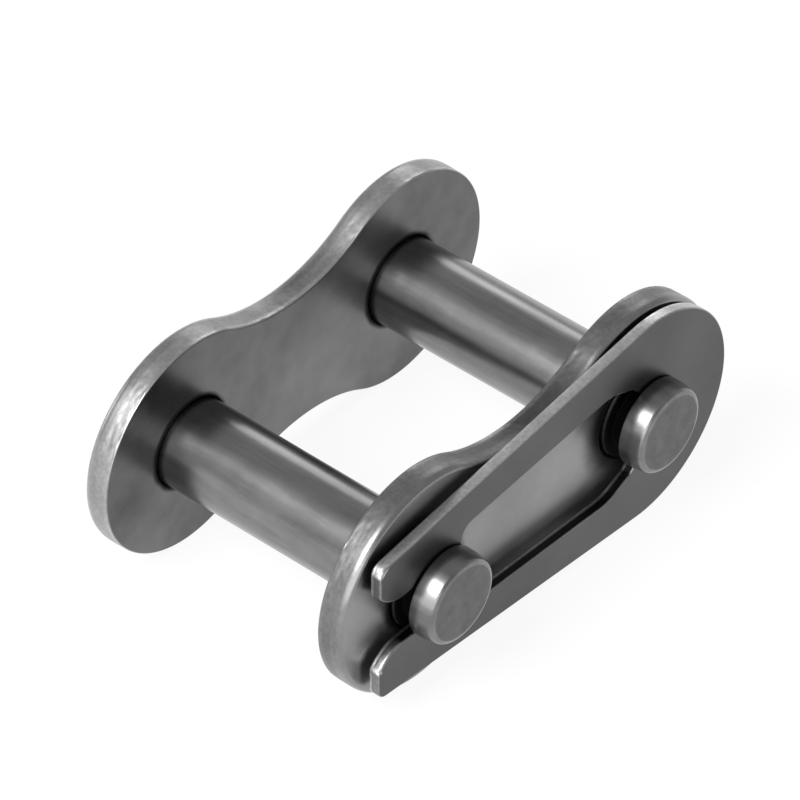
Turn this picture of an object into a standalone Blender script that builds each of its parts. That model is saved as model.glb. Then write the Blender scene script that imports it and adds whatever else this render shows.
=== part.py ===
"""Spring-clip connecting link of a roller chain, in metres, +Z up.

X runs along the chain, Y along the pins. The link stands on the lobes of its two plates.
The cover plate and the spring clip are on the -Y side, the riveted back plate on the +Y side.
"""
import math

import bmesh
import bpy

# Chain
PITCH = 0.01905             # pin centre to pin centre
INNER_WIDTH = 0.01630       # between the two plates

# Plates, both stamped from one outline
PLATE_THICKNESS = 0.00175
LOBE_RADIUS = 0.00745       # round ends, also the height of the pins above the floor
WAIST_HEIGHT = 0.0097       # plate height halfway between the pins
PLATE_ROLL = 0.00028        # rounded edge on the side where the punch entered
PLATE_BREAK = 0.00010       # slight edge break on the other side

# Pins
PIN_RADIUS = 0.00293
PRESS_GAP = 0.00005         # round each pin in the back plate
SLIP_GAP = 0.00009          # round each pin in the cover plate
RIVET_REACH = 0.00050       # how far the riveted end stands out of the back plate
RIVET_FLARE = 0.00025       # how much wider than the pin the riveted end is
RIVET_SEAT_GAP = 0.00004    # under the flare
RIVET_ROUND = 0.00035       # edge of the riveted end
RIVET_DIMPLE = 0.00130      # radius of the punch mark in the riveted end
RIVET_DIMPLE_FLOOR = 0.00052  # radius of its flat bottom
RIVET_DIMPLE_DEPTH = 0.00030
RIVET_DIMPLE_ROUND = 0.00020
PIN_EDGE_BREAK = 0.00005    # at the rims of the groove
GROOVE_DEPTH = 0.00070
GROOVE_FILLET = 0.00012
GROOVE_PLAY = 0.00010       # on each side of the clip
HEAD_LENGTH = 0.00163       # beyond the groove
HEAD_TAPER_LENGTH = 0.00045  # the head narrows over its last stretch
HEAD_TAPER = 0.00009        # by this much at its end
HEAD_TAPER_ROUND = 0.00050  # where the taper starts
HEAD_RIM_WIDTH = 0.00050    # shallow slope round the head's end face
HEAD_RIM_DROP = 0.00010
HEAD_RIM_ROUND = 0.00025
HEAD_ROUND = 0.00014

# Spring clip
CLIP_THICKNESS = 0.00080
CLIP_STANDOFF = 0.00036     # cover plate to clip
CLIP_SETBACK = 0.00003      # closed end below the plate's lobe
CLIP_END_SHIFT = 0.00011    # closed end's arc starts this much before the right pin
CLIP_ROLL = 0.00012
SEAT_GAP = 0.00010          # round each groove
TIP_REACH = 0.00524         # open end of the upper prong beyond the left pin
LOWER_TIP_EXTRA = 0.00016   # the lower prong reaches further by this much
TIP_HALF_HEIGHT = 0.00508   # outer edge of a prong at the open end
TIP_OUTER_ROUND = 0.00070
TIP_INNER_ROUND = 0.00045
THROAT_BITE = 0.00043       # how far each prong grips past the groove's top
THROAT_ROUND = 0.00260      # hump that the left pin snaps over
MOUTH_RISE = 0.00127        # how much wider each prong's tip stands than the throat
LIP_ROUND = 0.00025         # where the hump turns into the left seat
STOP_REACH = 0.00195        # wall between the left seat and the window
STOP_ROUND = 0.00022
WINDOW_MARGIN = 0.00044     # window above a pin head, at the left end
WINDOW_CORNER = 0.00095
WINDOW_RISE = 0.00080       # taller at the closed end by this much
WINDOW_END = 0.00400        # where the window's edge turns in, before the right pin
WINDOW_END_ROUND = 0.00300
RAMP_FOOT = 0.00175         # steep lead-in starts here, before the right pin
RAMP_FOOT_HALF_HEIGHT = 0.00343
RAMP_FOOT_ROUND = 0.00045
RAMP_TOP_LEAD = 0.00039     # lead-in ends here, before the right pin
RAMP_TOP_ROUND = 0.00030

# Fineness of the round stretches
PIN_SIDES = 40
ARC_STEP = math.radians(8)
SMALL_ARC_STEP = math.radians(24)
SMALL_RADIUS = 0.0012
PROFILE_STEP = math.radians(35)
ROLL_STEPS = 2              # across a stamping's rounded edge
SAME_POINT = 1e-6
MERGE_DISTANCE = 1e-7
SHARP_ANGLE = math.radians(50)

# Places worked out from the sizes above
HALF_PITCH = PITCH / 2
NECK_RADIUS = PIN_RADIUS - GROOVE_DEPTH
SEAT_RADIUS = NECK_RADIUS + SEAT_GAP
PINS_HEIGHT = LOBE_RADIUS
PLATE_FACE = INNER_WIDTH / 2 + PLATE_THICKNESS  # outer face of either plate, from between them
BACK_REACH = PLATE_FACE + RIVET_REACH
CLIP_BACK = PLATE_FACE + CLIP_STANDOFF
CLIP_FRONT = CLIP_BACK + CLIP_THICKNESS
GROOVE_BACK = CLIP_BACK - GROOVE_PLAY
GROOVE_FRONT = CLIP_FRONT + GROOVE_PLAY
FRONT_REACH = GROOVE_FRONT + HEAD_LENGTH
MID_Y = (FRONT_REACH - BACK_REACH) / 2  # sets the link centred on Y = 0


def clear_scene():
    for obj in list(bpy.data.objects):
        bpy.data.objects.remove(obj, do_unlink=True)


def steel(name, colour, roughness):
    material = bpy.data.materials.new(name)
    material.use_nodes = True
    shader = material.node_tree.nodes["Principled BSDF"]
    shader.inputs["Base Color"].default_value = (*colour, 1)
    shader.inputs["Metallic"].default_value = 1
    shader.inputs["Roughness"].default_value = roughness
    return material


def tangent_heading(start, end):
    """Heading of the straight line that leaves one circle and meets the next.

    A circle is (x, z, radius). The outline runs anticlockwise round a positive radius
    and clockwise round a negative one.
    """
    dx, dz = end[0] - start[0], end[1] - start[1]
    lean = (start[2] - end[2]) / math.hypot(dx, dz)
    return math.atan2(dz, dx) + math.asin(max(-1.0, min(1.0, lean)))


def belt(circles, inset=0.0):
    """Closed outline round a run of circles joined by tangent lines, drawn in by inset."""
    headings = [tangent_heading(a, b) for a, b in zip(circles, circles[1:] + circles[:1])]
    points = []
    for i, (x, z, radius) in enumerate(circles):
        turn = headings[i] - headings[i - 1]
        turn %= 2 * math.pi
        if radius < 0:
            turn -= 2 * math.pi
        step = ARC_STEP if abs(radius) > SMALL_RADIUS else SMALL_ARC_STEP
        steps = max(1, math.ceil(abs(turn) / step - SAME_POINT))
        for k in range(steps + 1):
            normal = headings[i - 1] + turn * k / steps - math.pi / 2
            reach = radius - inset
            points.append((x + reach * math.cos(normal), z + reach * math.sin(normal)))
    return points


def without_repeats(loops):
    """Drops, from every level of one outline, the points that coincide on the first level."""
    first = loops[0]
    kept = [i for i in range(len(first)) if math.dist(first[i], first[i - 1]) > SAME_POINT]
    return [[loop[i] for i in kept] for loop in loops]


def round_hole(x, radius):
    """A hole's outline, clockwise so that the metal lies outside it, in step with the pins."""
    def loop(inset):
        reach = radius + inset
        angles = [-2 * math.pi * k / PIN_SIDES for k in range(PIN_SIDES)]
        return [(x + reach * math.cos(a), reach * math.sin(a)) for a in angles]
    return loop


def edge_levels(thickness, front_roll, back_break):
    """Depth and inset of each outline through a stamping, rounded in front and broken behind."""
    levels = []
    for k in range(ROLL_STEPS + 1):
        angle = math.pi / 2 * k / ROLL_STEPS
        levels.append((front_roll * (1 - math.cos(angle)), front_roll * (1 - math.sin(angle))))
    return levels + [(thickness - back_break, 0.0), (thickness, back_break)]


def finished(name, bm, material):
    mesh = bpy.data.meshes.new(name)
    bm.to_mesh(mesh)
    bm.free()
    mesh.shade_smooth()
    mesh.set_sharp_from_angle(angle=SHARP_ANGLE)
    mesh.materials.append(material)
    obj = bpy.data.objects.new(name, mesh)
    bpy.context.scene.collection.objects.link(obj)
    return obj


def stamping(name, outlines, levels, material):
    """Sheet metal part: each outline at each depth, joined by walls and closed by two faces."""
    bm = bmesh.new()
    rings = []
    for outline in outlines:
        loops = without_repeats([outline(inset) for _, inset in levels])
        ring = []
        for (depth, _), loop in zip(levels, loops):
            ring.append([bm.verts.new((x, depth, z)) for x, z in loop])
        rings.append(ring)
    for ring in rings:
        for near, far in zip(ring, ring[1:]):
            for i in range(len(near)):
                bm.faces.new((near[i - 1], near[i], far[i], far[i - 1]))
    for level in (0, -1):
        rim = []
        for ring in rings:
            loop = ring[level]
            rim += [bm.edges.get((loop[i - 1], loop[i])) for i in range(len(loop))]
        bmesh.ops.triangle_fill(bm, use_beauty=True, edges=rim)
    bmesh.ops.recalc_face_normals(bm, faces=bm.faces)
    return finished(name, bm, material)


def plate_outline(inset):
    """Two lobes joined by two hollow arcs that touch them and give the waist its height."""
    half_waist = WAIST_HEIGHT / 2
    hollow = (HALF_PITCH ** 2 + half_waist ** 2 - LOBE_RADIUS ** 2) / (2 * (LOBE_RADIUS - half_waist))
    reach = half_waist + hollow
    circles = [
        (HALF_PITCH, 0, LOBE_RADIUS),
        (0, reach, -hollow),
        (-HALF_PITCH, 0, LOBE_RADIUS),
        (0, -reach, -hollow),
    ]
    return belt(circles, inset)


def plate(name, face_y, outward, hole_gap, material):
    """Plate whose outer face is at face_y. The punch entered from the outer side."""
    hole_radius = PIN_RADIUS + hole_gap
    holes = [round_hole(side * HALF_PITCH, hole_radius) for side in (-1, 1)]
    levels = edge_levels(PLATE_THICKNESS, PLATE_ROLL, PLATE_BREAK)
    levels = [(-outward * depth, inset) for depth, inset in levels]
    obj = stamping(name, [plate_outline] + holes, levels, material)
    obj.location = (0, face_y, PINS_HEIGHT)


def rounded(corners):
    """Open profile through corners (y, radius, fillet), each corner replaced by an arc."""
    points = [corners[0][:2]]
    for before, corner, after in zip(corners, corners[1:], corners[2:]):
        fillet = corner[2]
        if fillet == 0:
            points.append(corner[:2])
            continue
        inward = math.atan2(before[1] - corner[1], before[0] - corner[0])
        onward = math.atan2(after[1] - corner[1], after[0] - corner[0])
        opening = (onward - inward + math.pi) % (2 * math.pi) - math.pi
        cut = fillet / math.tan(abs(opening) / 2)
        reach = fillet / math.sin(abs(opening) / 2)
        middle = inward + opening / 2
        centre = (corner[0] + reach * math.cos(middle), corner[1] + reach * math.sin(middle))
        start = (corner[0] + cut * math.cos(inward), corner[1] + cut * math.sin(inward))
        first = math.atan2(start[1] - centre[1], start[0] - centre[0])
        sweep = -math.copysign(math.pi - abs(opening), opening)
        steps = max(2, math.ceil(abs(sweep) / PROFILE_STEP))
        for k in range(steps + 1):
            angle = first + sweep * k / steps
            points.append((centre[0] + fillet * math.cos(angle), centre[1] + fillet * math.sin(angle)))
    points.append(corners[-1][:2])
    return points


def pin_profile():
    """Half section of a pin from its riveted end to its head: (y, radius)."""
    under_flare = PLATE_FACE + RIVET_SEAT_GAP
    flare = PIN_RADIUS + RIVET_FLARE
    corners = [
        (BACK_REACH - RIVET_DIMPLE_DEPTH, 0, 0),
        (BACK_REACH - RIVET_DIMPLE_DEPTH, RIVET_DIMPLE_FLOOR, RIVET_DIMPLE_ROUND),
        (BACK_REACH, RIVET_DIMPLE, RIVET_DIMPLE_ROUND),
        (BACK_REACH, flare, RIVET_ROUND),
        (under_flare, flare, 0),
        (under_flare, PIN_RADIUS, 0),
        (-GROOVE_BACK, PIN_RADIUS, PIN_EDGE_BREAK),
        (-GROOVE_BACK, NECK_RADIUS, GROOVE_FILLET),
        (-GROOVE_FRONT, NECK_RADIUS, GROOVE_FILLET),
        (-GROOVE_FRONT, PIN_RADIUS, PIN_EDGE_BREAK),
        (HEAD_TAPER_LENGTH - FRONT_REACH, PIN_RADIUS, HEAD_TAPER_ROUND),
        (HEAD_RIM_DROP - FRONT_REACH, PIN_RADIUS - HEAD_TAPER, HEAD_ROUND),
        (-FRONT_REACH, PIN_RADIUS - HEAD_RIM_WIDTH, HEAD_RIM_ROUND),
        (-FRONT_REACH, 0, 0),
    ]
    return rounded(corners)


def pin(name, material):
    """The profile spun round the Y axis, which is the pin's own axis."""
    bm = bmesh.new()
    verts = [bm.verts.new((radius, y, 0)) for y, radius in pin_profile()]
    edges = [bm.edges.new(pair) for pair in zip(verts, verts[1:])]
    bmesh.ops.spin(bm, geom=verts + edges, cent=(0, 0, 0), axis=(0, 1, 0), dvec=(0, 0, 0),
                   angle=2 * math.pi, steps=PIN_SIDES, use_merge=True)
    bmesh.ops.remove_doubles(bm, verts=bm.verts, dist=MERGE_DISTANCE)
    bmesh.ops.recalc_face_normals(bm, faces=bm.faces)
    return finished(name, bm, material)


def prong(tip_reach):
    """Circles of one prong from its open end to the right seat, seen above the pins' middles."""
    left, right = -HALF_PITCH, HALF_PITCH
    tip = left - tip_reach
    throat = NECK_RADIUS - THROAT_BITE
    mouth_x, mouth_z = tip + TIP_INNER_ROUND, throat + MOUTH_RISE
    hump_lead = math.sqrt((THROAT_ROUND - TIP_INNER_ROUND) ** 2 - (THROAT_ROUND - MOUTH_RISE) ** 2)
    stop = left + STOP_REACH
    window = PIN_RADIUS + WINDOW_MARGIN
    lip_x = left - math.sqrt((SEAT_RADIUS + LIP_ROUND) ** 2 - (throat + LIP_ROUND) ** 2)
    stop_z = math.sqrt((SEAT_RADIUS + STOP_ROUND) ** 2 - (STOP_REACH - STOP_ROUND) ** 2)
    ramp_top_x = right - RAMP_TOP_LEAD
    ramp_top_z = math.sqrt((SEAT_RADIUS + RAMP_TOP_ROUND) ** 2 - RAMP_TOP_LEAD ** 2)
    return [
        (tip + TIP_OUTER_ROUND, TIP_HALF_HEIGHT - TIP_OUTER_ROUND, TIP_OUTER_ROUND),
        (mouth_x, mouth_z, TIP_INNER_ROUND),
        (mouth_x + hump_lead, throat + THROAT_ROUND, THROAT_ROUND),
        (lip_x, throat + LIP_ROUND, LIP_ROUND),
        (left, 0, -SEAT_RADIUS),
        (stop - STOP_ROUND, stop_z, STOP_ROUND),
        (stop + WINDOW_CORNER, window - WINDOW_CORNER, -WINDOW_CORNER),
        (right - WINDOW_END, window + WINDOW_RISE - WINDOW_END_ROUND, -WINDOW_END_ROUND),
        (right - RAMP_FOOT, RAMP_FOOT_HALF_HEIGHT - RAMP_FOOT_ROUND, -RAMP_FOOT_ROUND),
        (ramp_top_x, ramp_top_z, RAMP_TOP_ROUND),
    ]


def clip_outline(inset):
    """Closed end round the right pin, two prongs, a snap seat on the left pin's groove."""
    upper = prong(TIP_REACH)
    lower = [(x, -z, radius) for x, z, radius in reversed(prong(TIP_REACH + LOWER_TIP_EXTRA))]
    closed_end = (HALF_PITCH - CLIP_END_SHIFT, 0, LOBE_RADIUS - CLIP_SETBACK)
    right_seat = (HALF_PITCH, 0, -SEAT_RADIUS)
    return belt([closed_end] + upper + [right_seat] + lower, inset)


def build():
    clear_scene()
    plate_steel = steel("plate_steel", (0.36, 0.36, 0.37), 0.36)
    cover_steel = steel("cover_steel", (0.42, 0.42, 0.43), 0.32)
    pin_steel = steel("pin_steel", (0.46, 0.46, 0.47), 0.24)
    clip_steel = steel("clip_steel", (0.34, 0.34, 0.35), 0.30)

    plate("back_plate", MID_Y + PLATE_FACE, 1, PRESS_GAP, plate_steel)
    plate("cover_plate", MID_Y - PLATE_FACE, -1, SLIP_GAP, cover_steel)

    pin_left = pin("pin_left", pin_steel)
    pin_left.location = (-HALF_PITCH, MID_Y, PINS_HEIGHT)
    pin_right = bpy.data.objects.new("pin_right", pin_left.data)
    bpy.context.scene.collection.objects.link(pin_right)
    pin_right.location = (HALF_PITCH, MID_Y, PINS_HEIGHT)

    levels = edge_levels(CLIP_THICKNESS, CLIP_ROLL, CLIP_ROLL)
    clip = stamping("spring_clip", [clip_outline], levels, clip_steel)
    clip.location = (0, MID_Y - CLIP_FRONT, PINS_HEIGHT)


build()
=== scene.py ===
import math

import bmesh
import bpy
import numpy as np
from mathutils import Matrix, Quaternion, Vector


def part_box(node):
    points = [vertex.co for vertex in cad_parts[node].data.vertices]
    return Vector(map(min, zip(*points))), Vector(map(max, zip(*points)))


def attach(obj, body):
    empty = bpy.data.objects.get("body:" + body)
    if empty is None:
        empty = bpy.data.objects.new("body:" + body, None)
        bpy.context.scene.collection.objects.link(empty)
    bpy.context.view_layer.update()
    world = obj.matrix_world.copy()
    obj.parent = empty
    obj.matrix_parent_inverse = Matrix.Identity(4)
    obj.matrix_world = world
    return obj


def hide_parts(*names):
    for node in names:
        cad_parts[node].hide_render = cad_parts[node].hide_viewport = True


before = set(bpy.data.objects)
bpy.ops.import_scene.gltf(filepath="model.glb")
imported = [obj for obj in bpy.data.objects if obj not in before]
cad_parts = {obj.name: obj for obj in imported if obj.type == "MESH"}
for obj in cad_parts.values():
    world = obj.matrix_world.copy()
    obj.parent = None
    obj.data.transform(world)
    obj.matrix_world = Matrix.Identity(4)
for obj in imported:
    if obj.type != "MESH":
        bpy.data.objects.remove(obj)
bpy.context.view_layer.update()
print("frame loaded:", ", ".join(sorted(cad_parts)))

mm = 0.001
quarterTurn = math.pi / 2


# The link's main sizes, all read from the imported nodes
def reach(node, axis):
    low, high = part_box(node)
    return low[axis], high[axis]


leftPinX = sum(reach("pin_left", 0)) / 2
rightPinX = sum(reach("pin_right", 0)) / 2
pinZ = sum(reach("pin_left", 2)) / 2
headY, rivetY = reach("pin_left", 1)
backInnerY, backOuterY = reach("back_plate", 1)
coverOuterY, coverInnerY = reach("cover_plate", 1)
clipFrontY, clipBackY = reach("spring_clip", 1)
plateLow, plateHigh = reach("back_plate", 2)
lobeRadius = (plateHigh - plateLow) / 2
halfPitch = (rightPinX - leftPinX) / 2


# Outline round a run of circles joined by tangent lines. A row is x, z, radius, and a negative radius is a
# hollow. An arc is centre + radius * normal, where the normal turns from one tangent's to the next one's.
# Gives points and outward normals, so that point - inset * normal is the same outline drawn in.
def tangentOutline(circles, spacing):
    rows = np.array(circles, dtype=float)
    ahead = np.roll(rows, -1, axis=0)
    gap = ahead[:, :2] - rows[:, :2]
    lean = np.arcsin(np.clip((rows[:, 2] - ahead[:, 2]) / np.hypot(gap[:, 0], gap[:, 1]), -1, 1))
    heading = np.arctan2(gap[:, 1], gap[:, 0]) + lean
    turn = (heading - np.roll(heading, 1)) % (2 * math.pi)
    turn = np.where(rows[:, 2] < 0, turn - 2 * math.pi, turn)
    points, normals = [], []
    for i, (x, z, radius) in enumerate(rows):
        steps = 2 * max(3, math.ceil(abs(turn[i] * radius) / spacing / 2))
        angle = heading[i - 1] - quarterTurn + turn[i] * np.arange(steps + 1) / steps
        normal = np.stack([np.cos(angle), np.sin(angle)], 1)
        arc = np.array([x, z]) + radius * normal
        landing = ahead[i, :2] + ahead[i, 2] * normal[-1]
        length = math.dist(landing, arc[-1])
        steps = math.ceil(length / spacing) if length > 1e-7 else 0
        share = (np.arange(steps) / max(steps, 1))[:, None]
        points += [arc[:-1], arc[-1] + share * (landing - arc[-1])]
        normals += [normal[:-1], np.repeat(normal[-1:], steps, 0)]
    return np.concatenate(points), np.concatenate(normals)


# Closed circle as points and normals. A hole's normals point at its middle, out of the metal.
def holeOutline(x, radius, steps):
    angle = -2 * math.pi * np.arange(steps) / steps
    direction = np.stack([np.cos(angle), np.sin(angle)], 1)
    return np.array([x, 0]) + radius * direction, -direction


# Uneven field on a grid: seeded random heights, smoothed by damping the fine waves. Closes on itself.
def unevenField(shape, smoothing, seed):
    damping = 8    # blurs over about two thirds of the smoothing length
    field = np.fft.fft2(np.random.default_rng(seed).standard_normal(shape))
    waves = np.fft.fftfreq(shape[0])[:, None] * smoothing[0], np.fft.fftfreq(shape[1])[None] * smoothing[1]
    field = np.fft.ifft2(field * np.exp(-(waves[0] ** 2 + waves[1] ** 2) * damping)).real
    return field / field.std()


# Smooth step from 0 at start to 1 at end: share squared * (3 - 2 * share)
def easeStep(values, start, end):
    share = np.clip((values - start) / (end - start), 0, 1)
    return share * share * (3 - 2 * share)


# Edge section of a stamping, from the face where the punch went in to the other: an elliptical roll, a
# burnished band, a torn band that leans in, and a small broken edge. Returns inset and depth of each row,
# the marks cut (sheared edge), torn (its rough band) and rub (rubbed bright: wear plus painted highlight),
# and how much of a worn corner's extra roll each row takes, inwards and down.
def edgeSection(look, thickness):
    roll = np.linspace(0, quarterTurn, look["rollSteps"] + 1)
    rollIn = look["rollInset"] * (1 - np.sin(roll))
    rollDown = look["rollDepth"] * (1 - np.cos(roll))
    burnishEnd = look["burnishShare"] * thickness
    bandDown = np.linspace(look["rollDepth"], burnishEnd, look["bandSteps"] + 1)[1:]
    tornDown = np.linspace(burnishEnd, thickness - look["breakSize"], look["tornSteps"] + 1)[1:]
    tornIn = look["tornLean"] * (tornDown - burnishEnd) / (tornDown[-1] - burnishEnd)
    broken = np.linspace(0, quarterTurn, look["breakSteps"] + 1)[1:]
    brokenIn = look["tornLean"] + look["breakSize"] * (1 - np.cos(broken))
    brokenDown = thickness - look["breakSize"] * (1 - np.sin(broken))
    outer, inner = rollIn[0] + look["support"], brokenIn[-1] + look["support"]
    band, tear = np.ones_like(bandDown), np.ones_like(tornIn)
    inset = np.concatenate([[outer], rollIn, 0 * band, tornIn, brokenIn, [inner]])
    depth = np.concatenate([[0], rollDown, bandDown, tornDown, brokenDown, [thickness]])
    cut = np.concatenate([[0], np.sin(roll) ** 2, band, tear, np.cos(broken) ** 2, [0]])
    torn = np.concatenate([[0], 0 * roll, 0 * band, tear, 0 * broken, [0]])
    # Rub on the rolled edge and along the far edge: wear, brightened as a painted highlight line
    rollWearGlint = look["rollWearGlint"] * np.sin(2 * roll)
    breakWearGlint = look["breakWearGlint"] * np.cos(broken)
    farWearGlint = look["breakWearGlint"] * easeStep(tornDown, tornDown[-1] - look["farBand"], tornDown[-1])
    rubAndGlint = np.concatenate([[0], rollWearGlint, 0 * band, farWearGlint, breakWearGlint, [0]])
    wornIn = np.clip(inset / look["rollInset"], 0, 1) * (depth < look["rollDepth"])
    wornDown = np.interp(depth, [0, look["rollDepth"], burnishEnd], [0, 1, 0])
    return inset, depth, np.stack([cut, torn, rubAndGlint], -1), wornIn, wornDown


# How sharply an outline turns outwards at each point, 0 on lines and hollows and 1 on its tight corners:
# the normal's turn per length times the corner radius, smoothed by damping its fine waves
def cornerShare(points, normals, radius, smoothing):
    ahead = np.roll(normals, -1, axis=0)
    turn = normals[:, 0] * ahead[:, 1] - normals[:, 1] * ahead[:, 0]
    step = np.hypot(*(np.roll(points, -1, axis=0) - points).T) + 1e-9
    share = np.clip(turn / step * radius, 0, 1)
    waves = np.fft.rfftfreq(len(share))
    smoothed = np.fft.irfft(np.fft.rfft(share) * np.exp(-(waves * smoothing) ** 2), len(share))
    return np.clip(smoothed, 0, 1)


# Grid of quads over rows and columns of points, closed along the rows, as vertex numbers from first on
def closedGrid(rows, columns, first=0):
    row, column = np.meshgrid(np.arange(rows), np.arange(columns - 1), indexing="ij")
    nextRow = (row + 1) % rows
    corner = [row * columns + column, nextRow * columns + column,
              nextRow * columns + column + 1, row * columns + column + 1]
    return first + np.stack(corner, -1).reshape(-1, 4)


# Stamped sheet: each outline's section carried round it, point - inset * normal, then the two flat faces
# filled between them. An outline is its points, normals, look, how worn each point is, and how much painted
# shade its sheared edge gets.
# The UV map holds the length round the outline and down the section in millimetres.
def stampedSheet(name, outlines, faceY, farY, seed):
    thickness = abs(farY - faceY)
    away = math.copysign(1, farY - faceY)
    tornGrain, wanderLength = (2.2, 1.2), (14, 0)    # in grid steps round and down
    wanderSeed = seed + 50    # so that the slow wave isn't drawn with the grain's numbers
    verts, faces, marks, uvs = [], [], [], []
    count = 0
    for number, (points, normals, look, wornShare, paintedShade) in enumerate(outlines):
        inset, depth, rowMarks, wornIn, wornDown = edgeSection(look, thickness)
        shape = (len(points), len(inset))
        wornShare = np.broadcast_to(wornShare, len(points))
        worn = wornShare[:, None] * look["cornerWear"]
        wornWearGlint = np.maximum(wornIn, wornDown) * (depth > 0)
        # Worn corners count as rubbed too: wear, and a painted highlight glint
        rubbedAndGlint = np.maximum(rowMarks[:, 2], wornShare[:, None] * wornWearGlint)
        # Painted shade: the sheared edge is stored darker where sheltered, less so where it is rubbed
        shadeOnEdge = np.broadcast_to(paintedShade, len(points))[:, None] * rowMarks[:, 0] * (1 - rubbedAndGlint)
        rough = unevenField(shape, tornGrain, seed + number) * rowMarks[:, 1] * look["tornRough"]
        wave = np.abs(unevenField((shape[0], 1), wanderLength, wanderSeed + number)) * look["wander"]
        drawIn = np.maximum(inset + rough, 0) + wave * rowMarks[:, 0] + worn * wornIn
        place = points[:, None] - drawIn[..., None] * normals[:, None]
        level = faceY + away * (depth + worn * wornDown)
        verts.append(np.stack([place[..., 0], level, pinZ + place[..., 1]], -1).reshape(-1, 3))
        faces.append(closedGrid(*shape, count))
        stored = (rowMarks[:, 0], rowMarks[:, 1], rubbedAndGlint, shadeOnEdge)
        marks.append(np.stack([np.broadcast_to(mark, shape).ravel() for mark in stored], -1))
        around = np.concatenate([[0], np.cumsum(np.hypot(*np.diff(points, axis=0).T))])
        down = np.concatenate([[0], np.cumsum(np.hypot(np.diff(inset), np.diff(depth)))])
        uvs.append(np.stack(np.meshgrid(around / mm, down / mm, indexing="ij"), -1).reshape(-1, 2))
        count += shape[0] * shape[1]
    mesh = bpy.data.meshes.new(name)
    mesh.from_pydata(np.concatenate(verts).tolist(), [], np.concatenate(faces).tolist())
    storeMarks(mesh, ("cut", "torn", "rubAndGlint", "paintedShade"), np.concatenate(marks), np.concatenate(uvs))
    bm = bmesh.new()
    bm.from_mesh(mesh)
    for level in (faceY, farY):
        rim = [e for e in bm.edges if e.is_boundary and abs(e.verts[0].co.y - level) < 1e-7]
        bmesh.ops.triangle_fill(bm, use_beauty=True, edges=rim)
    bmesh.ops.recalc_face_normals(bm, faces=bm.faces)
    bm.to_mesh(mesh)
    bm.free()
    return placePiece(name, mesh)


# Writes one float attribute for each named column, and the lengths as a UV map called lengths
def storeMarks(mesh, names, marks, uvs):
    for i, name in enumerate(names):
        attribute = mesh.attributes.new(name, "FLOAT", "POINT")
        attribute.data.foreach_set("value", marks[:, i].astype(np.float32))
    corners = np.empty(len(mesh.loops), dtype=np.int32)
    mesh.loops.foreach_get("vertex_index", corners)
    layer = mesh.uv_layers.new(name="lengths")
    layer.uv.foreach_set("vector", uvs[corners].astype(np.float32).ravel())


def placePiece(name, mesh):
    mesh.shade_smooth()
    piece = bpy.data.objects.new(name, mesh)
    bpy.context.scene.collection.objects.link(piece)
    return piece


# Plate outline: two lobes and two hollow arcs that touch them and set the height of the waist. A hollow's
# radius is (half pitch squared + half waist squared - lobe squared) / (2 * (lobe - half waist)).
def plateOutline(look):
    halfWaist = look["waistHeight"] / 2
    hollow = (halfPitch ** 2 + halfWaist ** 2 - lobeRadius ** 2) / (2 * (lobeRadius - halfWaist))
    reachZ = halfWaist + hollow
    circles = [
        (halfPitch, 0, lobeRadius),
        (0, reachZ, -hollow),
        (-halfPitch, 0, lobeRadius),
        (0, -reachZ, -hollow),
    ]
    return tangentOutline(circles, look["spacing"])


plateLook = {
    "waistHeight": 9.7 * mm,
    "backHole": 2.98 * mm,        # radius, pressed onto the pin
    "coverHole": 3.02 * mm,       # radius, slips over the pin
    "spacing": 0.11 * mm,
    "support": 0.06 * mm,         # flat ring inside the edge, keeps the face's shading flat
    "rollInset": 0.28 * mm,
    "rollDepth": 0.48 * mm,
    "rollSteps": 7,
    "burnishShare": 0.42,         # of the thickness, from the punch side to where the tearing starts
    "bandSteps": 5,
    "tornSteps": 10,
    "tornLean": 0.018 * mm,
    "tornRough": 0.005 * mm,
    "wander": 0.004 * mm,
    "breakSize": 0.10 * mm,
    "breakSteps": 5,
    "holeBreak": 0.18 * mm,
    "holeSteps": 160,
    "waistShadeFade": (0.1, 0.8),      # shares of half the pitch between which the painted shade on the waist's edge ends
    "cornerWear": 0,
    "rollWearGlint": 1,                 # how bright the rolled edge and the far edge are rubbed, wear with painted highlight
    "breakWearGlint": 0.9,
    "farBand": 0.30 * mm,         # how far up the sheared edge that rub and its painted highlight fade out
    "backSeed": 11,               # of the random grain on the edges
    "coverSeed": 23,
}


# The holes have the plate's own section, with a wider break round them, and painted shade over their walls
def makePlate(name, holeRadius, faceY, farY, seed):
    holeLook = dict(plateLook, breakSize=plateLook["holeBreak"], rollInset=plateLook["holeBreak"])
    points, normals = plateOutline(plateLook)
    start, end = plateLook["waistShadeFade"]
    # Painted shade on the sheared edge along the waist, fading out towards the lobes
    waistShade = 1 - easeStep(np.abs(points[:, 0]), start * halfPitch, end * halfPitch)
    outlines = [(points, normals, plateLook, 0, waistShade)]
    for x in (leftPinX, rightPinX):
        outlines.append((*holeOutline(x, holeRadius, plateLook["holeSteps"]), holeLook, 0, 1))
    return stampedSheet(name, outlines, faceY, farY, seed)


backPlate = makePlate("backPlate", plateLook["backHole"], backOuterY, backInnerY, plateLook["backSeed"])
coverPlate = makePlate("coverPlate", plateLook["coverHole"], coverOuterY, coverInnerY, plateLook["coverSeed"])
print("plates made:", len(backPlate.data.polygons), "and", len(coverPlate.data.polygons), "faces")


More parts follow.
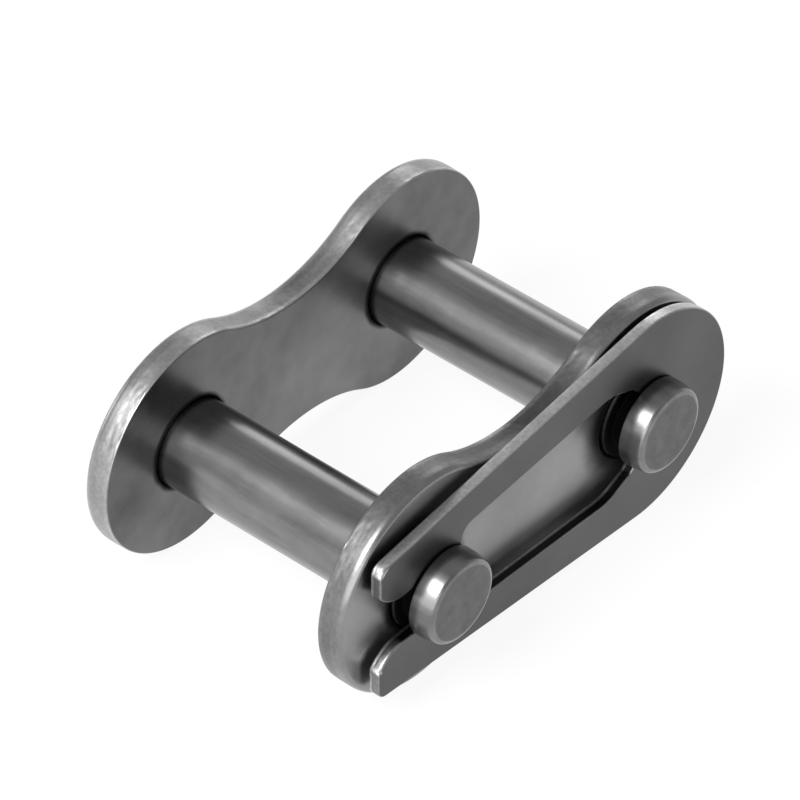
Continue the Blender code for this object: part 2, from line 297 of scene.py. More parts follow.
clipLook = {
    "seatRadius": 2.33 * mm,      # round the bottom of each pin's groove
    "tipReach": 5.24 * mm,        # upper prong's open end beyond the left pin
    "lowerTipExtra": 0.16 * mm,
    "tipHalfHeight": 5.08 * mm,
    "tipOuterRound": 0.70 * mm,
    "tipInnerRound": 0.45 * mm,
    "mouthRise": 1.27 * mm,       # how much wider each tip stands than the throat
    "throat": 1.80 * mm,          # half the gap that the left pin snaps through
    "throatRound": 2.60 * mm,
    "lipRound": 0.25 * mm,
    "stopReach": 1.95 * mm,
    "stopRound": 0.22 * mm,
    "windowHalfHeight": 3.37 * mm,
    "windowCorner": 0.95 * mm,
    "windowRise": 0.80 * mm,
    "windowEnd": 4.00 * mm,
    "windowEndRound": 3.00 * mm,
    "rampFoot": 1.75 * mm,
    "rampFootHalfHeight": 3.43 * mm,
    "rampFootRound": 0.45 * mm,
    "rampTopLead": 0.39 * mm,
    "rampTopRound": 0.30 * mm,
    "endShift": 0.11 * mm,
    "endRadius": 7.42 * mm,
    "spacing": 0.08 * mm,
    "support": 0.05 * mm,
    "rollInset": 0.11 * mm,
    "rollDepth": 0.12 * mm,
    "rollSteps": 6,
    "burnishShare": 0.62,
    "bandSteps": 5,
    "tornSteps": 5,
    "tornLean": 0.010 * mm,
    "tornRough": 0.004 * mm,
    "wander": 0.003 * mm,
    "breakSize": 0.12 * mm,
    "breakSteps": 5,
    "cornerRadius": 0.65 * mm,    # corners tighter than this are worn rounder
    "cornerSmooth": 5,
    "cornerWear": 0.20 * mm,      # at the open end
    "rollWearGlint": 0.1,
    "breakWearGlint": 0.7,
    "farBand": 0.16 * mm,
    "rampWear": 0.5,              # share of it at the top of the ramps
    "tipFade": (3.6 * mm, 3.2 * mm),    # wear starts to fade and ends this far left of the left pin
    "rampFade": (1.2 * mm, 0.9 * mm),   # and comes back between these, left of the right pin
    "upFade": (-0.1, 0.5),        # how far up a corner faces
    "insideShadeFade": (0.1, 0.5),     # how far an edge faces the clip's middle line, where it gets painted shade
    "endShadeFade": (0.8, 0.97),       # how far an edge faces the open end, where it gets part painted shade
    "endPaintedShade": 0.6,
    "seed": 37,
}


# Circles of one prong above the pins' middles: tip, mouth, throat, lip, left seat, stop, window and lead-in
def prongCircles(look, tipReach):
    left, right, seat = leftPinX, rightPinX, look["seatRadius"]
    tip, throat = left - tipReach, look["throat"]
    innerRound, throatRound = look["tipInnerRound"], look["throatRound"]
    mouthX, mouthZ = tip + innerRound, throat + look["mouthRise"]
    humpLead = math.sqrt((throatRound - innerRound) ** 2 - (throatRound - look["mouthRise"]) ** 2)
    lip = look["lipRound"]
    lipX = left - math.sqrt((seat + lip) ** 2 - (throat + lip) ** 2)
    stop, stopRound = left + look["stopReach"], look["stopRound"]
    stopZ = math.sqrt((seat + stopRound) ** 2 - (look["stopReach"] - stopRound) ** 2)
    corner, window = look["windowCorner"], look["windowHalfHeight"]
    endRound, footRound = look["windowEndRound"], look["rampFootRound"]
    rampTopZ = math.sqrt((seat + look["rampTopRound"]) ** 2 - look["rampTopLead"] ** 2)
    return [
        (tip + look["tipOuterRound"], look["tipHalfHeight"] - look["tipOuterRound"], look["tipOuterRound"]),
        (mouthX, mouthZ, innerRound),
        (mouthX + humpLead, throat + throatRound, throatRound),
        (lipX, throat + lip, lip),
        (left, 0, -seat),
        (stop - stopRound, stopZ, stopRound),
        (stop + corner, window - corner, -corner),
        (right - look["windowEnd"], window + look["windowRise"] - endRound, -endRound),
        (right - look["rampFoot"], look["rampFootHalfHeight"] - footRound, -footRound),
        (right - look["rampTopLead"], rampTopZ, look["rampTopRound"]),
    ]


# Clip outline: the closed end, the upper prong, the right seat and the lower prong mirrored below
def clipOutline(look):
    upper = prongCircles(look, look["tipReach"])
    lowerReach = look["tipReach"] + look["lowerTipExtra"]
    lower = [(x, -z, radius) for x, z, radius in reversed(prongCircles(look, lowerReach))]
    closedEnd = (rightPinX - look["endShift"], 0, look["endRadius"])
    rightSeat = (rightPinX, 0, -look["seatRadius"])
    return tangentOutline([closedEnd] + upper + [rightSeat] + lower, look["spacing"])


# The corners at the open end and at the top of the ramps are worn rounder, by how sharply they turn and
# how far up they face; they are painted brighter too, wear plus painted highlight. The edges inside the clip
# and, in part, the prongs' ends get painted shade.
def makeClip(look):
    points, normals = clipOutline(look)
    places = [leftPinX - far for far in look["tipFade"]] + [rightPinX - far for far in look["rampFade"]]
    worn = np.interp(points[:, 0], places, [1, 0, 0, look["rampWear"]])
    worn = worn * cornerShare(points, normals, look["cornerRadius"], look["cornerSmooth"])
    worn = worn * easeStep(normals[:, 1], *look["upFade"])
    # Painted shade on the inside edges and the ends, none on worn corners
    insideShade = easeStep(-normals[:, 1] * np.sign(points[:, 1]), *look["insideShadeFade"])
    endShade = look["endPaintedShade"] * easeStep(-normals[:, 0], *look["endShadeFade"])
    paintedShade = np.maximum(insideShade, endShade) * (1 - worn)
    outline = (points, normals, look, worn, paintedShade)
    return stampedSheet("springClip", [outline], clipFrontY, clipBackY, look["seed"])


springClip = makeClip(clipLook)
print("clip made:", len(springClip.data.polygons), "faces")


pinLook = {
    "sides": 192,
    "radius": 2.93 * mm,
    "flareRadius": 3.18 * mm,     # riveted end
    "rivetReach": 0.50 * mm,
    "rivetSeatGap": 0.04 * mm,
    "rivetRound": 0.35 * mm,
    "dimpleRadius": 1.30 * mm,
    "dimpleFloor": 0.52 * mm,
    "dimpleDepth": 0.30 * mm,
    "dimpleRound": 0.20 * mm,
    "neckRadius": 2.23 * mm,
    "grooveGap": 0.10 * mm,       # on each side of the clip
    "grooveFillet": 0.12 * mm,
    "edgeBreak": 0.05 * mm,
    "taperLength": 1.00 * mm,     # the head narrows over its last stretch
    "taper": 0.16 * mm,
    "taperRound": 2.50 * mm,
    "rimWidth": 0.44 * mm,        # shallow slope round the head's end face
    "rimDrop": 0.10 * mm,
    "rimRound": 0.22 * mm,
    "headRound": 0.28 * mm,
    "arcSteps": 8,
    "spacing": 0.25 * mm,
    "markFade": 0.05 * mm,
    "sharpAngle": 40,             # degrees
}


# Open profile with each corner (y, radius, fillet) swapped for an arc that touches both of its sides:
# centre = corner + fillet / sin(half the opening) along the bisector
def filletedProfile(corners, arcSteps):
    points = [np.array([corners[0][:2]])]
    for before, corner, after in zip(corners, corners[1:], corners[2:]):
        spot = np.array(corner[:2])
        if corner[2] == 0:
            points.append(spot[None])
            continue
        back = (np.array(before[:2]) - spot) / math.dist(before[:2], corner[:2])
        on = (np.array(after[:2]) - spot) / math.dist(after[:2], corner[:2])
        half = math.acos(np.clip(back @ on, -1, 1)) / 2
        bisector = (back + on) / np.linalg.norm(back + on)
        centre = spot + corner[2] / math.sin(half) * bisector
        share = np.linspace(-1, 1, arcSteps + 1)[:, None] * (quarterTurn - half)
        side = (on - back) / np.linalg.norm(on - back)
        points.append(centre + corner[2] * (np.sin(share) * side - np.cos(share) * bisector))
    points.append(np.array([corners[-1][:2]]))
    return np.concatenate(points)


# Half section of a pin from the riveted end to the head
def pinProfile(look):
    radius, neck = look["radius"], look["neckRadius"]
    dimpleY = rivetY - look["dimpleDepth"]
    seatY = rivetY - look["rivetReach"] + look["rivetSeatGap"]
    grooveBack, grooveFront = clipBackY + look["grooveGap"], clipFrontY - look["grooveGap"]
    corners = [
        (dimpleY, 0, 0),
        (dimpleY, look["dimpleFloor"], look["dimpleRound"]),
        (rivetY, look["dimpleRadius"], look["dimpleRound"]),
        (rivetY, look["flareRadius"], look["rivetRound"]),
        (seatY, look["flareRadius"], 0),
        (seatY, radius, 0),
        (grooveBack, radius, look["edgeBreak"]),
        (grooveBack, neck, look["grooveFillet"]),
        (grooveFront, neck, look["grooveFillet"]),
        (grooveFront, radius, look["edgeBreak"]),
        (headY + look["taperLength"], radius, look["taperRound"]),
        (headY + look["rimDrop"], radius - look["taper"], look["headRound"]),
        (headY, radius - look["rimWidth"], look["rimRound"]),
        (headY, 0, 0),
    ]
    return filletedProfile(corners, look["arcSteps"])


# Adds points along the profile so that no step is longer than spacing
def resampled(profile, spacing):
    pieces = []
    for start, end in zip(profile, profile[1:]):
        steps = max(1, math.ceil(math.dist(start, end) / spacing))
        pieces.append(start + (end - start) * (np.arange(steps) / steps)[:, None])
    return np.concatenate(pieces + [profile[-1:]])


# Marks along a pin's profile: the groove and collar behind the head, painted near black as shade, its flat
# end, and the head's own side
def pinMarks(look, y, r):
    fade = look["markFade"]
    headBack = clipFrontY - look["grooveGap"]
    flatRadius = look["radius"] - look["rimWidth"]
    groove = easeStep(y, headBack - fade, headBack + fade)
    groove = groove * (1 - easeStep(y, coverOuterY - fade, coverOuterY))
    flat = (1 - easeStep(y, headY, headY + fade)) * (1 - easeStep(r, flatRadius - fade, flatRadius))
    head = 1 - easeStep(y, headBack - fade, headBack)
    return np.stack([groove, flat, head], -1)


# Turned pin: the profile spun round the pin's axis, x = r sin(angle), z = r cos(angle)
def makePin(name, x, look):
    profile = resampled(pinProfile(look), look["spacing"])
    angle = 2 * math.pi * np.arange(look["sides"]) / look["sides"]
    y, r = profile[:, 0], profile[:, 1]
    across, up = r * np.sin(angle)[:, None], r * np.cos(angle)[:, None]
    grid = np.stack([x + across, y + 0 * across, pinZ + up], -1)
    shape = grid.shape[:2]
    mesh = bpy.data.meshes.new(name)
    mesh.from_pydata(grid.reshape(-1, 3).tolist(), [], closedGrid(*shape).tolist())
    down = np.concatenate([[0], np.cumsum(np.hypot(*np.diff(profile, axis=0).T))])
    uvs = np.stack(np.meshgrid(angle * look["radius"] / mm, down / mm, indexing="ij"), -1).reshape(-1, 2)
    marks = np.broadcast_to(pinMarks(look, y, r), shape + (3,)).reshape(-1, 3)
    storeMarks(mesh, ("groove", "flat", "head"), marks, uvs)
    bm = bmesh.new()
    bm.from_mesh(mesh)
    bmesh.ops.remove_doubles(bm, verts=bm.verts, dist=1e-8)
    bmesh.ops.recalc_face_normals(bm, faces=bm.faces)
    bm.to_mesh(mesh)
    bm.free()
    piece = placePiece(name, mesh)
    mesh.set_sharp_from_angle(angle=math.radians(look["sharpAngle"]))
    return piece


leftPin = makePin("leftPin", leftPinX, pinLook)
rightPin = makePin("rightPin", rightPinX, pinLook)
print("pins made:", len(leftPin.data.polygons), "faces each")


# Small helpers for node trees
def addNode(tree, kind, **settings):
    node = tree.nodes.new(kind)
    for name, value in settings.items():
        if name in node.bl_rna.properties:
            setattr(node, name, value)
        else:
            node.inputs[name].default_value = value
    return node


# Sets a socket from a number or joins another node's socket to it
def feed(tree, socket, source):
    if isinstance(source, bpy.types.NodeSocket):
        tree.links.new(source, socket)
    else:
        socket.default_value = source


def maths(tree, operation, first, second=0.0, third=0.0, clamp=False):
    node = addNode(tree, "ShaderNodeMath", operation=operation, use_clamp=clamp)
    for socket, source in zip(node.inputs, (first, second, third)):
        feed(tree, socket, source)
    return node.outputs[0]


def mixValue(tree, factor, low, high):
    node = addNode(tree, "ShaderNodeMix", data_type="FLOAT")
    for name, source in (("Factor", factor), ("A", low), ("B", high)):
        feed(tree, node.inputs[name], source)
    return node.outputs["Result"]


# A Mix node's colour sockets are inputs 6 and 7 and output 2
def mixGrey(tree, factor, low, high):
    node = addNode(tree, "ShaderNodeMix", data_type="RGBA")
    feed(tree, node.inputs["Factor"], factor)
    for socket, source in ((node.inputs[6], low), (node.inputs[7], high)):
        feed(tree, socket, (source, source, source, 1) if isinstance(source, float) else source)
    return node.outputs[2]


def newGroup(name, inputs, outputs):
    tree = bpy.data.node_groups.new(name, "ShaderNodeTree")
    for title, value in inputs:
        kind = "NodeSocketVector" if value is None else "NodeSocketFloat"
        socket = tree.interface.new_socket(title, in_out="INPUT", socket_type=kind)
        if value is not None:
            socket.default_value = value
    for title in outputs:
        tree.interface.new_socket(title, in_out="OUTPUT", socket_type="NodeSocketFloat")
    return tree, tree.nodes.new("NodeGroupInput").outputs, tree.nodes.new("NodeGroupOutput").inputs


# Patchy tone of worked steel: coarse clouds plus fine speckle, as one factor round 1 and as a height round 0
def buildPatchGroup():
    inputs = [("Vector", None), ("Cloud Scale", 250.0), ("Cloud Amount", 0.2)]
    inputs += [("Speckle Scale", 6000.0), ("Speckle Amount", 0.1)]
    tree, given, result = newGroup("patchyTone", inputs, ["Tone", "Height"])
    shares = []
    for title, detail in (("Cloud", 4.0), ("Speckle", 2.5)):
        noise = addNode(tree, "ShaderNodeTexNoise", Detail=detail, Roughness=0.58)
        feed(tree, noise.inputs["Vector"], given["Vector"])
        feed(tree, noise.inputs["Scale"], given[title + " Scale"])
        centred = maths(tree, "SUBTRACT", noise.outputs["Fac"], 0.5)
        shares.append(maths(tree, "MULTIPLY", centred, given[title + " Amount"]))
    total = maths(tree, "ADD", *shares)
    noiseGain = 4.0    # the noise keeps to about an eighth on each side of its middle
    feed(tree, result["Tone"], maths(tree, "MULTIPLY_ADD", total, noiseGain, 1.0))
    feed(tree, result["Height"], total)
    return tree


# Drawn marks: noise stretched by its own scale along each axis, as rolling or turning leaves it
def buildDrawnGroup():
    inputs = [("Vector", None), ("Scale X", 9000.0), ("Scale Y", 9000.0), ("Scale Z", 9000.0)]
    tree, given, result = newGroup("drawnMarks", inputs, ["Height"])
    scale = addNode(tree, "ShaderNodeCombineXYZ")
    for axis in "XYZ":
        feed(tree, scale.inputs[axis], given["Scale " + axis])
    stretched = addNode(tree, "ShaderNodeVectorMath", operation="MULTIPLY")
    feed(tree, stretched.inputs[0], given["Vector"])
    feed(tree, stretched.inputs[1], scale.outputs["Vector"])
    noise = addNode(tree, "ShaderNodeTexNoise", Scale=1.0, Detail=3.0, Roughness=0.6)
    feed(tree, noise.inputs["Vector"], stretched.outputs["Vector"])
    feed(tree, result["Height"], noise.outputs["Fac"])
    return tree


# Dark ring where a pin meets sheet metal, oil residue and painted shade together: 1 at Inner and 0 at Outer,
# distances from the pin's axis in X and Z, broken up by noise
def buildOilShadeGroup():
    inputs = [("Vector", None), ("Axis X", 0.0), ("Axis Z", 0.0), ("Inner", 0.003), ("Outer", 0.0034)]
    inputs += [("Uneven", 0.0003)]
    tree, given, result = newGroup("pinOilAndShade", inputs, ["Mask"])
    split = addNode(tree, "ShaderNodeSeparateXYZ")
    feed(tree, split.inputs[0], given["Vector"])
    across = maths(tree, "SUBTRACT", split.outputs["X"], given["Axis X"])
    up = maths(tree, "SUBTRACT", split.outputs["Z"], given["Axis Z"])
    square = maths(tree, "MULTIPLY_ADD", across, across, maths(tree, "MULTIPLY", up, up))
    noise = addNode(tree, "ShaderNodeTexNoise", Scale=900.0, Detail=3.0)
    feed(tree, noise.inputs["Vector"], given["Vector"])
    centred = maths(tree, "SUBTRACT", noise.outputs["Fac"], 0.5)
    uneven = maths(tree, "MULTIPLY_ADD", centred, given["Uneven"], maths(tree, "SQRT", square))
    ring = addNode(tree, "ShaderNodeMapRange", interpolation_type="SMOOTHSTEP")
    for name, source in (("Value", uneven), ("From Min", given["Outer"]), ("From Max", given["Inner"])):
        feed(tree, ring.inputs[name], source)
    feed(tree, result["Mask"], ring.outputs["Result"])
    return tree


patchGroup = buildPatchGroup()
drawnGroup = buildDrawnGroup()
oilShadeGroup = buildOilShadeGroup()


# Places a group with its own values, given by the names of its sockets
def placeGroup(tree, group, vector, values):
    node = addNode(tree, "ShaderNodeGroup", node_tree=group)
    feed(tree, node.inputs["Vector"], vector)
    for name, value in values.items():
        node.inputs[name].default_value = value
    return node.outputs


def placeDrawn(tree, vector, scales):
    values = {"Scale " + axis: scale for axis, scale in zip("XYZ", scales)}
    return placeGroup(tree, drawnGroup, vector, values)["Height"]


def scaledGrey(tree, grey, factor):
    node = addNode(tree, "ShaderNodeVectorMath", operation="SCALE")
    feed(tree, node.inputs[0], grey)
    feed(tree, node.inputs["Scale"], factor)
    return node.outputs["Vector"]


# Metal under a thin film of oil, with its colour and roughness still to be linked
def bareSteel(name, look):
    material = bpy.data.materials.new(name)
    material.use_nodes = True
    tree = material.node_tree
    shader = tree.nodes["Principled BSDF"]
    shader.inputs["Metallic"].default_value = 1.0
    shader.inputs["Coat Roughness"].default_value = look["filmRough"]
    return material, tree, shader


# Heights are in metres, so the bump's own distance stays 1
def bumpFrom(tree, shader, height):
    bump = addNode(tree, "ShaderNodeBump", Strength=1.0, Distance=1.0)
    feed(tree, bump.inputs["Height"], height)
    feed(tree, shader.inputs["Normal"], bump.outputs["Normal"])


def markOf(tree, name):
    return addNode(tree, "ShaderNodeAttribute", attribute_name=name).outputs["Fac"]


# Noise on all three pieces of sheet, in waves per metre along each axis
sheetGrain = {
    "cloudScale": 130.0,
    "sandScale": 800.0,
    "sandSpeckle": 4200.0,
    "grainScale": (500.0, 9000.0, 12000.0),
    "rubGlintShare": 0.8,              # of the rub mark, wear and painted highlight, that shows where the sand is middling
    "cloudRough": 0.4,            # how far the clouds change the roughness
}
plateFinish = {
    # grey of each region, its roughness, the noise on it, and the dark ring round the pins (oil and painted
    # shade). The sheltered greys are painted shade; the rubbed grey is wear with painted highlight.
    "face": 0.13, "burnished": 0.32, "torn": 0.34, "rubbedAndGlint": 0.44, "paintedShade": 0.22, "paintedShadeTorn": 0.24,
    "oilAndShade": 0.016,
    "faceRough": 0.32, "burnishedRough": 0.36, "tornRough": 0.42, "rubbedRough": 0.26,
    "faceCloud": 0.60, "faceSpeckle": 0.04, "edgeCloud": 0.17, "edgeSpeckle": 0.15,
    "grainDepth": 0.0010 * mm, "sandDepth": 0.007 * mm,
    "oilShadeInner": 3.06 * mm, "oilShadeOuter": 3.42 * mm, "rightOilShadeOuter": 3.42 * mm, "oilShadeUneven": 0.24 * mm,
    # The dark ring is moved up and left, to the side where shade falls: painted shade
    "oilShadeShiftX": -0.16 * mm, "oilShadeShiftZ": 0.14 * mm,
    "oilFilm": 0.10, "filmRough": 0.20, "oilRough": 0.60,
}
# Round the right pin the cover's dark ring reaches much further: painted shadow and painted reflection of the
# head
coverFinish = dict(plateFinish, face=0.25, burnished=0.20, torn=0.18, rubbedAndGlint=0.25, paintedShade=0.10,
                   paintedShadeTorn=0.085, faceRough=0.34, faceCloud=0.25, oilAndShade=0.015,
                   oilShadeInner=3.12 * mm, oilShadeOuter=3.90 * mm, rightOilShadeOuter=5.00 * mm, oilShadeUneven=0.55 * mm)
clipFinish = {
    "face": 0.072, "burnished": 0.48, "torn": 0.48, "rubbedAndGlint": 0.72, "paintedShade": 0.03, "paintedShadeTorn": 0.10,
    "oilAndShade": 0.01,
    "faceRough": 0.34, "burnishedRough": 0.36, "tornRough": 0.40, "rubbedRough": 0.24,
    "faceCloud": 0.30, "faceSpeckle": 0.04, "edgeCloud": 0.12, "edgeSpeckle": 0.20,
    "grainDepth": 0.0007 * mm, "sandDepth": 0.003 * mm,
    "oilShadeInner": 2.35 * mm, "oilShadeOuter": 2.60 * mm, "rightOilShadeOuter": 2.60 * mm, "oilShadeUneven": 0.30 * mm,
    "oilShadeShiftX": 0.0, "oilShadeShiftZ": 0.0,
    "oilFilm": 0.12, "filmRough": 0.20, "oilRough": 0.60,
}


# Stamped steel: rolled face, burnished and torn bands of the sheared edge, painted shade on its sheltered
# parts, rubbed corners and edges (wear and painted highlight) and a dark ring round the pins (oil and painted
# shade), each with its own grey and roughness, chosen by the piece's own marks
def stampedSteel(name, look):
    material, tree, shader = bareSteel(name, look)
    where = addNode(tree, "ShaderNodeTexCoord").outputs["Object"]
    cut, torn, rubAndGlint, paintedShade = (markOf(tree, mark) for mark in ("cut", "torn", "rubAndGlint", "paintedShade"))
    clouds = placeGroup(tree, patchGroup, where, {
        "Cloud Scale": sheetGrain["cloudScale"],
        "Cloud Amount": look["faceCloud"],
        "Speckle Amount": look["faceSpeckle"],
    })
    sand = placeGroup(tree, patchGroup, where, {
        "Cloud Scale": sheetGrain["sandScale"],
        "Cloud Amount": look["edgeCloud"],
        "Speckle Scale": sheetGrain["sandSpeckle"],
        "Speckle Amount": look["edgeSpeckle"],
    })
    grain = placeDrawn(tree, where, sheetGrain["grainScale"])
    # Rubbed edges and corners: worn metal, painted brighter as highlight
    broken = maths(tree, "MULTIPLY", sand["Tone"], sheetGrain["rubGlintShare"])
    rubbedAndGlint = maths(tree, "MULTIPLY", rubAndGlint, broken, clamp=True)
    # Painted shade: sheltered parts of the edge take darker greys
    edge = mixGrey(tree, torn, mixGrey(tree, paintedShade, look["burnished"], look["paintedShade"]),
                   mixGrey(tree, paintedShade, look["torn"], look["paintedShadeTorn"]))
    grey = mixGrey(tree, cut, look["face"], edge)
    grey = mixGrey(tree, rubbedAndGlint, grey, look["rubbedAndGlint"])
    toned = scaledGrey(tree, grey, mixValue(tree, cut, clouds["Tone"], sand["Tone"]))
    # Dark ring round each pin: oil residue and painted shade
    oilShadeMask = 0.0
    for x, outer in ((leftPinX, look["oilShadeOuter"]), (rightPinX, look["rightOilShadeOuter"])):
        ring = placeGroup(tree, oilShadeGroup, where, {
            "Axis X": x + look["oilShadeShiftX"],
            "Axis Z": pinZ + look["oilShadeShiftZ"],
            "Inner": look["oilShadeInner"],
            "Outer": outer,
            "Uneven": look["oilShadeUneven"],
        })
        oilShadeMask = maths(tree, "MAXIMUM", oilShadeMask, ring["Mask"])
    feed(tree, shader.inputs["Base Color"], mixGrey(tree, oilShadeMask, toned, look["oilAndShade"]))
    rough = mixValue(tree, torn, look["burnishedRough"], look["tornRough"])
    rough = mixValue(tree, cut, look["faceRough"], rough)
    rough = mixValue(tree, rubbedAndGlint, rough, look["rubbedRough"])
    rough = mixValue(tree, oilShadeMask, rough, look["oilRough"])
    uneven = maths(tree, "MULTIPLY_ADD", clouds["Height"], sheetGrain["cloudRough"], rough)
    feed(tree, shader.inputs["Roughness"], uneven)
    feed(tree, shader.inputs["Coat Weight"], mixValue(tree, oilShadeMask, look["oilFilm"], 0.0))
    faceHeight = maths(tree, "MULTIPLY", grain, look["grainDepth"])
    edgeHeight = maths(tree, "MULTIPLY", sand["Height"], look["sandDepth"])
    bumpFrom(tree, shader, mixValue(tree, cut, faceHeight, edgeHeight))
    return material


pinFinish = {
    # grey of each region, its roughness, and the noise on it in waves per metre. The groove's near-black grey
    # is painted shade.
    "side": 0.215, "flat": 0.11, "head": 0.20, "groove": 0.006,
    "sideRough": 0.255, "flatRough": 0.42, "headRough": 0.31, "grooveRough": 0.75,
    "cloud": 0.12, "cloudScale": 330.0, "cloudRough": 0.5, "speckle": 0.02,
    "streaks": 0.9, "streakScale": (1300.0, 130.0, 1300.0),
    "pits": 0.34, "pitScale": 2300.0, "pitSpeckle": 0.1, "pitLevel": 0.86,
    "turnedScale": (0.6, 16.0, 1.0),    # in waves per millimetre round and along the pin
    "turnedDepth": 0.0005 * mm, "endDepth": 0.004 * mm,
    "oilFilm": 0.10, "filmRough": 0.20,
}


# Ground pin: fine marks round it, soft streaks along it, a duller flat end with small pits, and painted
# shade, near black, in the groove and collar behind the head
def turnedSteel(name, look):
    material, tree, shader = bareSteel(name, look)
    where = addNode(tree, "ShaderNodeTexCoord").outputs["Object"]
    around = addNode(tree, "ShaderNodeUVMap", uv_map="lengths").outputs["UV"]
    groove, flat, head = (markOf(tree, mark) for mark in ("groove", "flat", "head"))
    clouds = placeGroup(tree, patchGroup, where, {
        "Cloud Scale": look["cloudScale"],
        "Cloud Amount": look["cloud"],
        "Speckle Amount": look["speckle"],
    })
    pits = placeGroup(tree, patchGroup, where, {
        "Cloud Scale": look["pitScale"],
        "Cloud Amount": look["pits"],
        "Speckle Amount": look["pitSpeckle"],
    })
    turned = placeDrawn(tree, around, look["turnedScale"])
    lengthways = placeDrawn(tree, where, look["streakScale"])
    streaks = maths(tree, "MULTIPLY", maths(tree, "SUBTRACT", lengthways, 0.5), look["streaks"])
    pitted = maths(tree, "SUBTRACT", look["pitLevel"], pits["Tone"], clamp=True)
    deep = maths(tree, "MULTIPLY", pitted, flat)
    tone = maths(tree, "SUBTRACT", maths(tree, "ADD", clouds["Tone"], streaks), deep)
    grey = mixGrey(tree, flat, mixGrey(tree, head, look["side"], look["head"]), look["flat"])
    toned = scaledGrey(tree, grey, tone)
    # The groove and collar are painted near black: painted shade
    feed(tree, shader.inputs["Base Color"], mixGrey(tree, groove, toned, look["groove"]))
    rough = mixValue(tree, head, look["sideRough"], look["headRough"])
    rough = mixValue(tree, flat, rough, look["flatRough"])
    rough = mixValue(tree, groove, rough, look["grooveRough"])
    uneven = maths(tree, "MULTIPLY_ADD", clouds["Height"], look["cloudRough"], rough)
    feed(tree, shader.inputs["Roughness"], uneven)
    feed(tree, shader.inputs["Coat Weight"], mixValue(tree, groove, look["oilFilm"], 0.0))
    sideHeight = maths(tree, "MULTIPLY", turned, look["turnedDepth"])
    endHeight = maths(tree, "MULTIPLY", pits["Height"], look["endDepth"])
    bumpFrom(tree, shader, mixValue(tree, flat, sideHeight, endHeight))
    return material


def dress(piece, material, node, body):
    piece.data.materials.append(material)
    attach(piece, body)
    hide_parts(node)


plateSteel = stampedSteel("plateSteel", plateFinish)
coverSteel = stampedSteel("coverSteel", coverFinish)
clipSteel = stampedSteel("clipSteel", clipFinish)
pinSteel = turnedSteel("pinSteel", pinFinish)
dress(backPlate, plateSteel, "back_plate", "link")
dress(coverPlate, coverSteel, "cover_plate", "cover")
dress(springClip, clipSteel, "spring_clip", "link")
dress(leftPin, pinSteel, "pin_left", "link")
dress(rightPin, pinSteel, "pin_right", "link")
print("finishes placed")


# Camera: long lens, aimed a little above the middle of the link as in the photograph
cameraLook = {
    "azimuth": -49.57,            # degrees round the link, from straight in front
    "elevation": 42.54,
    "roll": 0.14,
    "distance": 388.8 * mm,
    "lens": 295.5,
    "aimRight": -0.102 * mm,
    "aimUp": 1.176 * mm,
}


def placeCamera(look):
    turn, rise = math.radians(look["azimuth"]), math.radians(look["elevation"])
    toward = Vector((math.sin(turn) * math.cos(rise), -math.cos(turn) * math.cos(rise), math.sin(rise)))
    right = Vector((math.cos(turn), math.sin(turn), 0))
    up = toward.cross(right)
    middle = Vector((0, (backInnerY + coverInnerY) / 2, pinZ))
    camera = bpy.data.objects.new("camera", bpy.data.cameras.new("camera"))
    camera.data.lens = look["lens"]
    camera.data.clip_start = 10 * mm
    camera.data.clip_end = 50
    camera.location = middle + look["distance"] * toward
    aim = middle + look["aimRight"] * right + look["aimUp"] * up
    facing = (camera.location - aim).to_track_quat("Z", "Y")
    camera.rotation_euler = (facing @ Quaternion((0, 0, 1), math.radians(look["roll"]))).to_euler()
    bpy.context.scene.collection.objects.link(camera)
    bpy.context.scene.camera = camera


stageLook = {
    "flatRadius": 1.1,            # the floor turns up into a low backdrop all round
    "bendRadius": 0.08,
    "wallHeight": 0.12,
    "flatSteps": 4,
    "bendSteps": 12,
    "sides": 96,
    "colour": 0.92,
    "rough": 0.8,
    "whiteShare": 0.89,           # of white for camera, mirror and see-through rays
    "worldGrey": 0.50,
    "lampDistance": 0.6,
    "lamps": (
        # name, degrees round from +X, degrees up, half width and half height in degrees, radiance
        ("keyPanel", 173, 48.5, 13, 13, 15.0),
        ("leftSoftbox", 199, 19.5, 40, 19, 2.2),
        ("rightStrip", 32, 26, 9, 9, 1.8),
        ("backPanel", 108, 14, 11, 11, 1.5),
    ),
}


# Floor and backdrop in one sweep: a flat disc, a quarter round and a wall, turned about the upright axis
def sweepMesh(look):
    bend = np.linspace(0, quarterTurn, look["bendSteps"] + 1)
    reachOut = look["flatRadius"] + look["bendRadius"] * np.sin(bend)
    height = look["bendRadius"] * (1 - np.cos(bend))
    flat = np.arange(look["flatSteps"]) / look["flatSteps"] * look["flatRadius"]
    radius = np.concatenate([flat, reachOut, reachOut[-1:]])
    height = np.concatenate([0 * flat, height, [look["wallHeight"]]])
    angle = -2 * math.pi * np.arange(look["sides"])[:, None] / look["sides"]
    grid = np.stack([radius * np.cos(angle), radius * np.sin(angle), height + 0 * angle], -1)
    mesh = bpy.data.meshes.new("floor")
    mesh.from_pydata(grid.reshape(-1, 3).tolist(), [], closedGrid(*grid.shape[:2]).tolist())
    bm = bmesh.new()
    bm.from_mesh(mesh)
    bmesh.ops.remove_doubles(bm, verts=bm.verts, dist=1e-6)
    bm.to_mesh(mesh)
    bm.free()
    return mesh


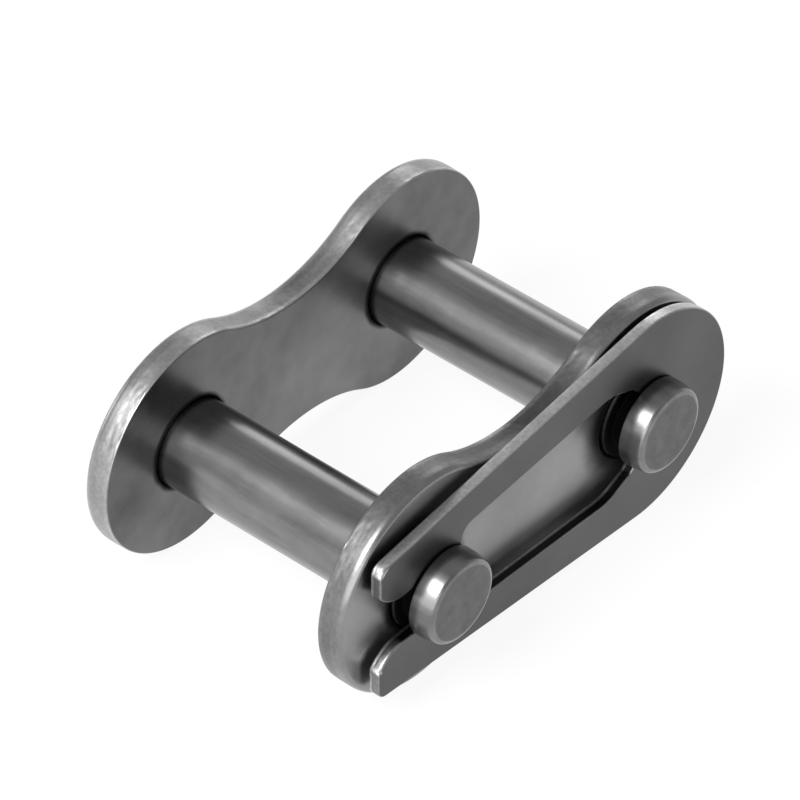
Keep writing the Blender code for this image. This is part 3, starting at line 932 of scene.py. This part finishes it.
# Matt white that gives camera, mirror and see-through rays most of its white. The rest shows the shadow.
def stageWhite(look):
    material = bpy.data.materials.new("stageWhite")
    material.use_nodes = True
    tree = material.node_tree
    shader = tree.nodes["Principled BSDF"]
    shader.inputs["Base Color"].default_value = (look["colour"], look["colour"], look["colour"], 1)
    shader.inputs["Roughness"].default_value = look["rough"]
    shader.inputs["Specular IOR Level"].default_value = 0
    path = addNode(tree, "ShaderNodeLightPath").outputs
    seen = maths(tree, "ADD", path["Is Camera Ray"], path["Is Glossy Ray"], clamp=True)
    seen = maths(tree, "ADD", seen, path["Is Transmission Ray"], clamp=True)
    white = addNode(tree, "ShaderNodeEmission")
    blend = addNode(tree, "ShaderNodeMixShader")
    feed(tree, blend.inputs[0], maths(tree, "MULTIPLY", seen, look["whiteShare"]))
    feed(tree, blend.inputs[1], shader.outputs[0])
    feed(tree, blend.inputs[2], white.outputs[0])
    feed(tree, tree.nodes["Material Output"].inputs["Surface"], blend.outputs[0])
    return material


# Panel that faces the link. Its light is written as radiance, so power = pi * area * radiance.
def placeLamp(name, around, above, halfWidth, halfHeight, radiance, distance):
    turn, rise = math.radians(around), math.radians(above)
    direction = Vector((math.cos(turn) * math.cos(rise), math.sin(turn) * math.cos(rise), math.sin(rise)))
    light = bpy.data.lights.new(name, "AREA")
    light.shape = "RECTANGLE"
    light.size = 2 * distance * math.tan(math.radians(halfWidth))
    light.size_y = 2 * distance * math.tan(math.radians(halfHeight))
    light.energy = math.pi * light.size * light.size_y * radiance
    lamp = bpy.data.objects.new(name, light)
    lamp.location = direction * distance + Vector((0, 0, pinZ))
    lamp.rotation_euler = direction.to_track_quat("Z", "Y").to_euler()
    bpy.context.scene.collection.objects.link(lamp)


def makeStage(look):
    floor = placePiece("floor", sweepMesh(look))
    floor.data.materials.append(stageWhite(look))
    world = bpy.data.worlds.new("studio")
    world.use_nodes = True
    bpy.context.scene.world = world
    background = world.node_tree.nodes["Background"]
    background.inputs["Color"].default_value = (1, 1, 1, 1)
    background.inputs["Strength"].default_value = look["worldGrey"]
    for lamp in look["lamps"]:
        placeLamp(*lamp, look["lampDistance"])


placeCamera(cameraLook)
makeStage(stageLook)
bpy.context.scene.view_settings.view_transform = "Standard"
print("camera and studio placed")
